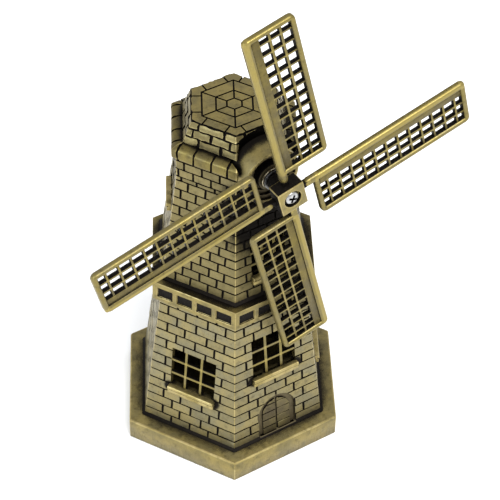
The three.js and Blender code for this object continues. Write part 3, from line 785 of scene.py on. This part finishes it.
def storey_parts(storey, courses, shell, windows, size, cuts):
    """The bricks, the wall behind them and the window frames. cuts are openings beside the windows."""
    openings = [window_opening(storey, face, bottom, size) for face, bottom in windows]
    bricks = carved(make_object("bricks", courses), [*openings, *cuts])
    wall = carved(make_object("wall", [shell]), [*openings, *cuts])
    frames = [body for face, bottom in windows for body in window_frame(storey, face, bottom, size)]
    trim = make_object("trim", frames)
    return [bevelled(bricks, BRICK_EDGE), wall, bevelled(trim, TRIM_EDGE)]


def lower_storey():
    foot = PLINTH_HIGH.z
    radius = LOWER_HIGH.x - COVE
    top_radius = radius - LOWER_TAPER
    low, top = LOWER_LOW.z, LOWER_HIGH.z
    storey = lower_faces()
    courses = []
    for index in range(LOWER_COURSES):
        start = index * LOWER_PITCH
        end = min(start + LOWER_PITCH, storey.slope_at(top) + BED_JOINT / 2)
        courses += storey.course(start, end, LOWER_JOINTS[index % 2])
    shell = hex_shell([
        *foot_cove(radius, low), (top_radius - BACKING, top), (top_radius - WALL, top),
        (radius - WALL, low),
    ], PATINA)
    outline = arch(DOOR_HALF_WIDTH, low - foot + DOOR_STEP, storey.slope_at(DOOR_SPRING))
    doorway = storey.plate(FRONT, outline, WALL, -DOOR_RECESS, SMOKY)
    parts = storey_parts(storey, courses, shell, LOWER_WINDOWS, LARGE_WINDOW, [doorway])
    leaves = bevelled(door(storey), BRICK_EDGE)
    make_piece("lower_storey", [*parts, leaves], ["lower_tower"])


def gallery():
    """The belt round the tower's waist, with sunk panels along each side."""
    radius, low, top = BELT_HIGH.x, BELT_LOW.z, BELT_HIGH.z
    foot = LOWER_HIGH.z + BELT_GAP
    sleeve = LOWER_HIGH.x - COVE - LOWER_TAPER - WALL - SLEEVE_GAP
    inner = sleeve - SLEEVE_WALL
    body = hex_shell([
        (sleeve, low), (sleeve, foot), (radius, foot), (radius, top),
        (BELT_BORE, top), (BELT_BORE, top - WALL), (inner, top - WALL), (inner, low),
    ])
    side = Storey(0, radius, 1, radius)
    panel_foot = top - BELT_PANEL_DROP - BELT_PANEL_HEIGHT / 2
    sunk = []
    for face in range(SIDES):
        for index in range(BELT_PANELS):
            left = (index - (BELT_PANELS - 1) / 2) * BELT_PANEL_PITCH - BELT_PANEL_WIDTH / 2
            panel = rectangle(left, left + BELT_PANEL_WIDTH, panel_foot, panel_foot + BELT_PANEL_HEIGHT)
            sunk.append(side.plate(face, panel, 1, -BELT_PANEL_DEPTH, DUSKY, PATINA))
    ring = carved(make_object("belt", [body]), sunk)
    make_piece("gallery_casting", [bevelled(ring, BELT_EDGE, worn=True)], ["gallery_belt"])


def bearing_hole():
    """The round way for the bearing through the tower's front."""
    hole = [(BEARING_HOLE, BEARING_HOLE_BACK), (BEARING_HOLE, BEARING_HOLE_FRONT)]
    return turned(hole, SHAFT_FOOT, 48, PATINA, closed=False)


def upper_storey():
    """A tapered wall with an upright neck on it, which carries the cap."""
    radius = UPPER_HIGH.x - COVE
    neck_radius = radius - UPPER_TAPER
    low, top = UPPER_LOW.z, UPPER_HIGH.z
    storey = Storey(BELT_HIGH.z, radius, NECK_FOOT, neck_radius)
    neck = Storey(NECK_FOOT, neck_radius, top, neck_radius)
    courses = []
    foot = storey.slope_at(NECK_FOOT) - UPPER_COURSES * UPPER_PITCH
    for index in range(UPPER_COURSES):
        start = foot + index * UPPER_PITCH
        courses += storey.course(start, start + UPPER_PITCH, UPPER_JOINTS[index % 2])
    courses += neck.course(0, NECK_SPLIT, UPPER_JOINTS[0])
    neck_height = top - NECK_FOOT
    for index in range(math.ceil((neck_height - NECK_SPLIT) / NECK_PITCH)):
        start = NECK_SPLIT + index * NECK_PITCH
        end = min(start + NECK_PITCH, neck_height + BED_JOINT / 2)
        courses += neck.course(start, end, NECK_JOINTS[index % 2])
    shell = hex_shell([
        *foot_cove(radius, low), (neck_radius - BACKING, NECK_FOOT), (neck_radius - BACKING, top),
        (neck_radius - WALL, top), (neck_radius - WALL, NECK_FOOT), (radius - WALL, low),
    ], PATINA)
    courses = refinished(courses, DIM_BRICK)
    parts = storey_parts(storey, courses, shell, UPPER_WINDOWS, SMALL_WINDOW, [bearing_hole()])
    make_piece("upper_storey", parts, ["upper_tower"])


def niche_body(front, back):
    """The arch-topped space in the cap's front, from front to back in distance from the axis."""
    shoulder = CAP_HIGH.z - NICHE_SHOULDER
    rise = NICHE_SHOULDER - NICHE_CROWN
    cheeks = [radius / 2 - NICHE_MARGIN for radius in (CAP_HIGH.x, DRUM_FOOT_RADIUS, DRUM_TOP_RADIUS)]
    right = [(cheeks[0], CAP_LOW.z - 1), (cheeks[0], COPING_TOP), (cheeks[1], COPING_TOP + NICHE_KERB),
             (cheeks[2], shoulder)]
    curve = []
    for step in range(1, 8):
        share = 1 - step / 4
        curve.append((cheeks[2] * share, shoulder + rise * (1 - share * share)))
    left = [(-x, z) for x, z in reversed(right)]
    outline = [*right, *curve, *left]
    return prism(upright(outline, -front), upright(outline, -back), PATINA)


def on_side(face, apothem, u):
    """A point (x, y) of the roof's plan."""
    point = along_face(face, apothem, u, 0)
    return point.x, point.y


def roof_edge(face, left, right):
    """The chipped outer edge along a side of the roof."""
    apothem = DRUM_TOP_RADIUS * FLAT
    return [on_side(face, apothem - random.uniform(0, ROOF_CHIP), u) for u in spread(left, right, 1.0)]


def roof_stones():
    """The engraved roof: stones between rings and spokes, with a border of larger ones."""
    line = ROOF_LINE / 2
    spoke = line / FLAT  # half a spoke's line, measured along a ring
    middle = ROOF_RINGS[0] * FLAT - line
    stones = [[on_side(face, middle, -at_corner(middle)) for face in range(SIDES)]]
    for inner, outer in zip(ROOF_RINGS, ROOF_RINGS[1:]):
        near, far = inner * FLAT + line, outer * FLAT - line
        near_half, far_half = at_corner(near) - spoke, at_corner(far) - spoke
        for face in range(SIDES):
            stones.append([on_side(face, far, -far_half), on_side(face, far, far_half),
                           on_side(face, near, near_half), on_side(face, near, -near_half)])
    near = ROOF_RINGS[-1] * FLAT + line
    corner = at_corner(DRUM_TOP_RADIUS * FLAT) - ROOF_CHIP
    left, right = ROOF_JOINT - line, ROOF_JOINT + line  # the two sides of a border joint
    for face in range(SIDES):
        following = (face + 1) % SIDES
        stones.append([*roof_edge(face, -left, left), on_side(face, near, left), on_side(face, near, -left)])
        stones.append([
            *roof_edge(face, right, corner), *roof_edge(following, -corner, -right),
            on_side(following, near, -right), on_side(face, near, at_corner(near)),
            on_side(face, near, right),
        ])
    top = CAP_HIGH.z
    return [prism([Vector((x, y, top)) for x, y in outline],
                  [Vector((x, y, top - SINK)) for x, y in outline], BRASS, PATINA)
            for outline in stones]


def coping_profile(inset):
    """(corner radius, z) up the coping's outside, from its underside to the crease."""
    bottom = CAP_LOW.z
    roll_foot = bottom + COPING_BAND
    radius = CAP_HIGH.x - inset / FLAT
    crease = DRUM_FOOT_RADIUS - inset / FLAT
    rise = COPING_TOP - inset - roll_foot
    profile = [(radius, bottom)]
    for step in range(7):
        angle = step / 6 * math.pi / 2
        profile.append((crease + (radius - crease) * math.cos(angle), roll_foot + rise * math.sin(angle)))
    return profile


def cap():
    """A hollow cap: coping, drum and engraved roof, with a niche for the boss in its front."""
    top = CAP_HIGH.z
    drum = Storey(COPING_TOP, DRUM_FOOT_RADIUS, top, DRUM_TOP_RADIUS)
    faces = [(r * FLAT, z) for r, z in coping_profile(0)]
    backs = [(r * FLAT, z) for r, z in coping_profile(SINK)]
    courses = refinished(brick_course(faces, COPING_JOINTS, backs, ROUGH_WOBBLE / 2), COPING)
    pitch = drum.slope_at(top) / DRUM_COURSES
    for index in range(DRUM_COURSES):
        start, end = index * pitch, (index + 1) * pitch
        if index == DRUM_COURSES - 1:
            end -= BED_JOINT / 2
        course = drum.course(start, end, DRUM_JOINTS[index], ROUGH_WOBBLE, DRUM_JOINT)
        courses += refinished(course, STONE)
    inner = DRUM_FOOT_RADIUS - CAP_WALL
    centre = 0.01
    core = hex_shell([
        *coping_profile(RELIEF), (DRUM_FOOT_RADIUS - BACKING, COPING_TOP),
        (DRUM_TOP_RADIUS - BACKING, top - RELIEF), (centre, top - RELIEF), (centre, top - CAP_ROOF),
        (DRUM_TOP_RADIUS - CAP_WALL, top - CAP_ROOF), (inner, CAP_LOW.z + COPING_BAND), (inner, CAP_LOW.z),
    ], PATINA)
    niche_back = -BOSS_HIGH.y + NICHE_DEPTH
    niche = niche_body(2 * CAP_HIGH.x, niche_back)
    stones = carved(make_object("stones", courses), [niche])
    roof = carved(make_object("roof", roof_stones()), [niche])
    body = carved(make_object("core", [core]), [niche])
    wall = make_object("niche_wall", [niche_body(niche_back + 0.1, niche_back - NICHE_WALL)])
    carved(wall, [bearing_hole()])
    parts = [bevelled(stones, BRICK_EDGE), bevelled(roof, ROOF_EDGE), body, wall]
    make_piece("cap_casting", parts, ["roof_cap"])


def boss():
    """A barrel that carries the bearing, stepped down inside its rim."""
    front = -BOSS_LOW.y
    back = front - BOSS_LENGTH
    radius = BOSS_RADIUS
    rim = radius - BOSS_RIM
    seat = rim - BOSS_STEPS * BOSS_STEP_WIDTH
    profile = [(radius + out, back + along) for out, along in BOSS_BARREL]
    profile += [(radius + out, front - along) for out, along in BOSS_NOSE]
    profile += [(rim + EASE, front), (rim, front - EASE)]
    for step in range(BOSS_STEPS):
        edge = rim - step * BOSS_STEP_WIDTH
        floor = front - (step + 1) * BOSS_STEP_DEPTH
        profile += [(edge, floor), (edge - BOSS_STEP_WIDTH, floor)]
    face = front - BOSS_SEAT_SETBACK
    profile += [(seat, face - EASE), (seat - EASE, face), (BOSS_BORE, face), (BOSS_BORE, back)]
    barrel = make_object("boss", [turned(profile, SHAFT_FOOT, 96, BOSS)])
    for polygon in barrel.data.polygons:
        away = polygon.center / MM - SHAFT_FOOT
        if math.hypot(away.x, away.z) < rim - EASE / 3:
            polygon.material_index = SMOKY if polygon.normal.y < -0.9 else PATINA
        elif away.y < EASE - front:
            polygon.material_index = WORN
    make_piece("boss_casting", [barrel], ["shaft_boss"])


# ----- rotor -----
def on_hub(turn):
    """From a frame in the middle of the hub's front face to the tower's, turned about the shaft."""
    return Matrix.Translation(HUB_CENTRE) @ Matrix.Rotation(math.radians(turn), 4, "Y")


def rounded_loop(left, right, low, high, radius, steps=5):
    """Points (x, z) round a rectangle with rounded corners."""
    centres = rectangle(left + radius, right - radius, low + radius, high - radius)
    loop = []
    for (x, z), start in zip(centres, (180, 270, 0, 90)):
        for step in range(steps + 1):
            angle = math.radians(start + 90 * step / steps)
            loop.append((x + radius * math.cos(angle), z + radius * math.sin(angle)))
    return loop


def blackened(body, chosen):
    """Gives the chosen faces the black patina finish; on the spar's lattice side it stands for painted shade."""
    points, faces, finishes = body
    return points, faces, [PATINA if chosen(index) else finish for index, finish in enumerate(finishes)]


def sail_rim():
    """Rounded and bright outside, black down its inner wall and along its rear edge."""
    back = SAIL_THICKNESS
    rear = [(REAR_BREAK, back), (0.0, back - REAR_BREAK)]
    inner_wall = [(RIM_WIDTH, RIM_INNER_DROP), (RIM_WIDTH, back)]
    section = [*rear, *RIM_ROUND, *inner_wall]
    loops = []
    for inset, depth in section:
        loop = rounded_loop(-SPAR_HALF_WIDTH + inset, SAIL_FAR_EDGE - inset, SAIL_START + inset,
                            SAIL_END - inset, max(SAIL_CORNER - inset, 0.15))
        loops.append(upright(loop, SAIL_SETBACK + depth))
    around = len(loops[0])
    first_inner = len(section) - len(inner_wall) - 1
    dark_strips = (0, first_inner, first_inner + 1)
    return blackened(lofted(loops, SAIL, closed=True), lambda index: index // around in dark_strips)


def sail_spar():
    """A half-round rod with rounded ends, black down its sides: painted shade on the side towards the lattice,
    black patina on the rear chamfer.
    """
    depth = SAIL_THICKNESS - SPAR_CROWN
    half = SPAR_HALF_WIDTH
    arc = [math.pi * step / 10 for step in range(11)]
    section = [(half * math.cos(angle), -SPAR_CROWN * math.sin(angle)) for angle in arc]
    section += [(-half, depth - REAR_BREAK), (REAR_BREAK - half, depth), (half, depth)]
    stations = [(SPAR_TIP + along, share) for along, share in SPAR_ENDS]
    stations += [(SAIL_END - along, share) for along, share in reversed(SPAR_ENDS[1:])]
    loops = [
        [Vector((x * share, SAIL_SETBACK + SPAR_CROWN + y * share, z)) for x, y in section]
        for z, share in stations
    ]
    around = len(section)
    # the lattice side of the rod is black as painted shade, the rear chamfer as patina
    sides = (0, 1, around - 3, around - 1)
    walls = around * (len(loops) - 1)
    return blackened(lofted(loops, SAIL), lambda index: index < walls and index % around in sides)


def sail_lattice():
    """The board beside the spar, and the bars between it and the rim."""
    left = SPAR_HALF_WIDTH
    right = SAIL_FAR_EDGE - RIM_WIDTH
    low, high = SAIL_START + RIM_WIDTH, SAIL_END - RIM_WIDTH
    under, stagger = LATTICE_ROOT, LATTICE_STAGGER
    front = SAIL_SETBACK + TRAY_DEPTH
    back = front + LATTICE_THICKNESS

    def bar(left, right, low, high, inset=0.0, finish=SAIL):
        return box((left, front + inset, low), (right, back - inset, high), finish, PATINA, finish)

    # the board takes the darker coping finish: partly its own tone, partly painted shade from the spar
    bodies = [bar(left - under, LATTICE_START, low - under, high + under, finish=COPING)]
    pitch = (right - LATTICE_START + LATTICE_BAR) / LATTICE_COLUMNS
    for column in range(1, LATTICE_COLUMNS):
        x = LATTICE_START + column * pitch - LATTICE_BAR
        bodies.append(bar(x, x + LATTICE_BAR, low - under, high + under))
    middle = (low + high) / 2
    for row in range(1, LATTICE_ROWS):
        z = middle + (row - LATTICE_ROWS / 2) * LATTICE_ROW_PITCH - LATTICE_BAR / 2
        bodies.append(bar(LATTICE_START - under, right + under, z, z + LATTICE_BAR, stagger))
    return bodies


def sail(index):
    """One sail, drawn with +Z out along its spar and then turned to its place."""
    matrix = on_hub(REST_ANGLE + index * 360 / SAILS)
    peg = box((-PEG_HALF_WIDTH, SAIL_SETBACK + PEG_SETBACK, PEG_START),
              (PEG_HALF_WIDTH, SAIL_SETBACK + SAIL_THICKNESS - 0.1, SPAR_TIP + 2), PATINA)
    outer = make_object("rim", [moved(b, matrix) for b in (sail_rim(), sail_spar(), peg)])
    lattice = make_object("lattice", [moved(b, matrix) for b in sail_lattice()])
    node = f"sail_{index + 1}"
    parts = [outer, bevelled(lattice, LATTICE_EDGE)]
    make_piece(f"{node}_casting", parts, [node], "rotor", smooth=50)


def hub():
    half = HUB_SIZE / 2
    block = box((-half, 0, -half), (half, HUB_THICKNESS, half), BRASS, PATINA)
    obj = make_object("hub", [moved(block, on_hub(REST_ANGLE))])
    bore = turned([(COUNTERBORE_RADIUS, -COUNTERBORE_DEPTH), (COUNTERBORE_RADIUS, 1)],
                  HUB_CENTRE, 48, PATINA, closed=False)
    carved(obj, [bore])
    make_piece("hub_casting", [bevelled(obj, HUB_EDGE, 2, worn=True)], ["hub_block"], "rotor")


# ----- small parts -----
def plated(name, bright, dull, roughness):
    material, tree, shader = new_material(name, Metallic=1.0)
    clouds = noise(tree, 0.5, 4)
    scratches = noise(tree, 6.0, 3, stretch=(1, 0.2, 1))
    colour = mix(tree, ramp(tree, clouds, 0.35, 0.65), dull, bright)
    # painted shade: darker in the crevices, within 0.8 mm
    colour = mix(tree, ramp(tree, crevices(tree, 0.8), 0.3, 0.9), colour, (0.03, 0.03, 0.03))
    tree.links.new(colour, shader.inputs["Base Color"])
    shine = ramp(tree, scratches, 0.3, 0.7, roughness - 0.05, roughness + 0.1)
    tree.links.new(shine, shader.inputs["Roughness"])
    add_bump(tree, shader, scratches, 0.2, 0.02)
    return material


def felt():
    material, tree, shader = new_material("felt", Roughness=0.95)
    fibres = noise(tree, 7.0, 6)
    colour = mix(tree, ramp(tree, fibres, 0.3, 0.7), (0.012, 0.028, 0.02), (0.035, 0.065, 0.05))
    tree.links.new(colour, shader.inputs["Base Color"])
    add_bump(tree, shader, fibres, 0.8, 0.15)
    return material


def cross_arm(turn, top):
    """One slot of the cross recess, narrowing towards its floor."""
    mouth = rectangle(-CROSS_REACH, CROSS_REACH, -CROSS_HALF_WIDTH, CROSS_HALF_WIDTH)
    foot = rectangle(-CROSS_FOOT_REACH, CROSS_FOOT_REACH, -CROSS_FOOT_HALF_WIDTH, CROSS_FOOT_HALF_WIDTH)
    arm = prism(upright(mouth, -top - CUT_OVERSHOOT), upright(foot, -top + CROSS_DEPTH), 1)
    return moved(arm, on_hub(turn))


def screw():
    """A pan-head screw with a cross recess, sunk in the hub."""
    nickel = plated("nickel", (0.5, 0.5, 0.49), (0.34, 0.34, 0.34), 0.28)
    seat = SCREW_LIFT - COUNTERBORE_DEPTH
    top = seat + SCREW_HEIGHT
    radius = SCREW_RADIUS
    centre = 0.02
    profile = [(centre, seat - SCREW_LENGTH), (SCREW_SHANK, seat - SCREW_LENGTH), (SCREW_SHANK, seat),
               (radius, seat)]
    profile += [(radius + out, seat + along) for out, along in SCREW_CROWN]
    profile += [(SCREW_FLAT, top), (centre, top)]
    body = turned(profile, HUB_CENTRE, 48, 0, closed=False)
    head = make_object("head", [body], [nickel, FINISHES[PATINA]])
    carved(head, [cross_arm(turn, top) for turn in CROSS_TURNS])
    make_piece("hub_screw_head", [head], ["hub_screw"], "rotor")


def shaft_sleeve():
    """The blackened sleeve between the boss and the hub, with a rib round each end."""
    low, high = node_box("shaft_spacer")
    back, front = -high.y, -low.y
    radius, groove, bore = high.x, high.x - SLEEVE_GROOVE, 1.9
    slope = SLEEVE_RIB + 0.2
    profile = [(bore, back), (radius - EASE, back), (radius, back + EASE), (radius, back + SLEEVE_RIB),
               (groove, back + slope), (groove, front - slope), (radius, front - SLEEVE_RIB),
               (radius, front - EASE), (radius - EASE, front), (bore, front)]
    body = turned(profile, SHAFT_FOOT, 48, PATINA)
    make_piece("sleeve_turning", [make_object("sleeve", [body])], ["shaft_spacer"], "rotor")


def bearing():
    """The bush, with a thin bright lip on its flange."""
    low, high = node_box("bearing_bush")
    back, front = -high.y, -low.y
    bright = plated("bush_brass", (0.5, 0.46, 0.36), (0.36, 0.3, 0.18), 0.25)
    bore, barrel, flange, lip = 2.2, 2.8, 3.8, 3.2
    profile = [(bore, back), (barrel, back), (barrel, front - 0.6), (flange - EASE, front - 0.6),
               (flange, front - 0.45), (flange, front - EASE), (flange - EASE, front), (lip + EASE, front),
               (lip, front - 0.2), (bore + 0.2, front - 0.2), (bore, front - 0.4)]
    bush = make_object("bush", [turned(profile, SHAFT_FOOT, 64, 0)], [bright, FINISHES[PATINA]])
    for polygon in bush.data.polygons:
        away = polygon.center / MM - SHAFT_FOOT
        if math.hypot(away.x, away.z) < lip + 0.1:
            polygon.material_index = 1
    make_piece("bearing_turning", [bush], ["bearing_bush"])


def dress_small_nodes():
    """Finishes for the hidden parts that show their own CAD mesh."""
    steel = plated("zinc_steel", (0.52, 0.53, 0.54), (0.4, 0.4, 0.41), 0.3)
    surfaces = {"steel": steel, "felt": felt()}
    slots = {part["node"]: part["material_slot"] for part in frame["record"]["subparts"]}
    for name, node in frame["nodes"].items():
        node.data.materials.clear()
        node.data.materials.append(surfaces.get(slots[name], FINISHES[PATINA]))


# ----- the object -----
FINISHES = casting_finishes()
dress_small_nodes()
plinth()
lower_storey()
gallery()
upper_storey()
cap()
boss()
bearing()
shaft_sleeve()
hub()
screw()
for number in range(SAILS):
    sail(number)

# ----- stage, light and camera -----
FLOOR_SIZE = 6000
LIGHT_SIZE = 1400
LIGHT_DISTANCE = 2500
CAMERA_AZIMUTH = -32.85
CAMERA_ELEVATION = 43.70
CAMERA_DISTANCE = 597.0
CAMERA_ROLL = 1.16
CAMERA_LENS = 134.0
CAMERA_TARGET = Vector((4.65, -3.0, 67.5))


def add_floor():
    material, tree, shader = new_material("floor", Roughness=0.8)
    tint = noise(tree, 0.01, 2)
    colour = mix(tree, ramp(tree, tint, 0.3, 0.7), (0.93, 0.93, 0.93), (0.95, 0.95, 0.95))
    tree.links.new(colour, shader.inputs["Base Color"])
    corners = [Vector((x, y, 0)) * FLOOR_SIZE / 2 for x, y in ((-1, -1), (1, -1), (1, 1), (-1, 1))]
    make_object("floor", [(corners, [(0, 1, 2, 3)], [0])], [material])


def look_from(azimuth, elevation, distance, name, data, roll=0):
    """A lamp or a camera, aimed at the target. Azimuth 0 is in front, 90 is on the right."""
    a, e = math.radians(azimuth), math.radians(elevation)
    back = Vector((math.sin(a) * math.cos(e), -math.cos(a) * math.cos(e), math.sin(e)))
    obj = bpy.data.objects.new(name, data)
    obj.location = (CAMERA_TARGET + back * distance) * MM
    obj.rotation_mode = "QUATERNION"
    tilt = Quaternion((0, 0, 1), math.radians(roll))
    obj.rotation_quaternion = (-back).to_track_quat("-Z", "Y") @ tilt
    bpy.context.scene.collection.objects.link(obj)
    return obj


def add_light(name, azimuth, elevation, power, colour=(1, 1, 1)):
    data = bpy.data.lights.new(name, "AREA")
    data.shape = "DISK"
    data.size = LIGHT_SIZE * MM
    data.energy = power
    data.color = colour
    look_from(azimuth, elevation, LIGHT_DISTANCE, name, data)


def add_lights():
    world = bpy.data.worlds.new("studio")
    world.use_nodes = True
    backdrop = world.node_tree.nodes["Background"]
    backdrop.inputs["Color"].default_value = (1, 1, 1, 1)
    backdrop.inputs["Strength"].default_value = 0.9
    bpy.context.scene.world = world
    add_light("key", 0, 58, 64)
    add_light("fill", -85, 25, 36, (0.82, 0.9, 1.0))


def add_camera():
    data = bpy.data.cameras.new("camera")
    data.lens = CAMERA_LENS
    data.clip_start = 0.01
    bpy.context.scene.camera = look_from(
        CAMERA_AZIMUTH, CAMERA_ELEVATION, CAMERA_DISTANCE, "camera", data, CAMERA_ROLL)


add_floor()
add_lights()
add_camera()
bpy.context.scene.view_settings.view_transform = "Standard"

bpy.context.view_layer.update()
